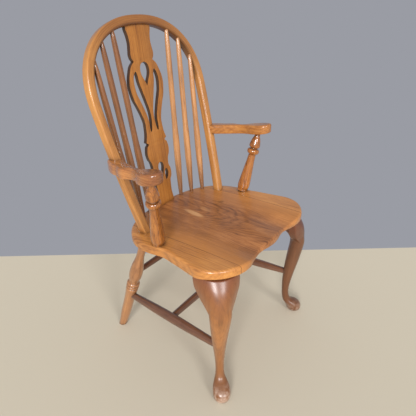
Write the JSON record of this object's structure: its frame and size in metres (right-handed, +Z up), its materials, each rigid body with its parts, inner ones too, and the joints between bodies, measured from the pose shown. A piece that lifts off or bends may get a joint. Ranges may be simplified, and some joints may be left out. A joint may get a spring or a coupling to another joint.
{
  "type": "bow-back wooden armchair",
  "caption": "Wooden captain's chair: bow back with a pierced splat and spindles, notched arms on turned posts, cabriole front legs, turned rear legs and stretchers.",
  "frame": {"origin": "middle of the chair's footprint, on the floor", "axes": "+Z up, the sitter faces -Y, +X is the sitter's left"},
  "size_m": [0.5676, 0.5186, 1.001],
  "materials": {
    "seat": "waxed brown, satin",
    "bow": "polished orange brown",
    "splat": "polished golden brown",
    "spindle": "polished light brown",
    "arm": "polished reddish brown, glossy",
    "turned_post": "polished orange brown, glossy",
    "front_leg": "polished reddish brown",
    "rear_leg": "polished honey brown",
    "stretcher": "polished dark reddish brown",
    "steel": "dull steel"
  },
  "bodies": {
    "root": {"seat_board_centre": "seat", "seat_board_left": "seat", "seat_board_right": "seat", "back_bow": "bow", "back_splat": "splat", "spindle_inner_left": "spindle", "spindle_inner_right": "spindle", "spindle_middle_left": "spindle", "spindle_middle_right": "spindle", "spindle_outer_left": "spindle", "spindle_outer_right": "spindle", "arm_left": "arm", "arm_right": "arm", "arm_post_left": "turned_post", "arm_post_right": "turned_post", "arm_screw_left": "steel", "arm_screw_right": "steel", "front_leg_left": "front_leg", "front_leg_right": "front_leg", "knee_block_side_left": "front_leg", "knee_block_side_right": "front_leg", "knee_block_front_left": "front_leg", "knee_block_front_right": "front_leg", "rear_leg_left": "rear_leg", "rear_leg_right": "rear_leg", "side_stretcher_left": "stretcher", "side_stretcher_right": "stretcher", "middle_stretcher": "stretcher", "rear_stretcher": "stretcher"}
  },
  "joints": []
}
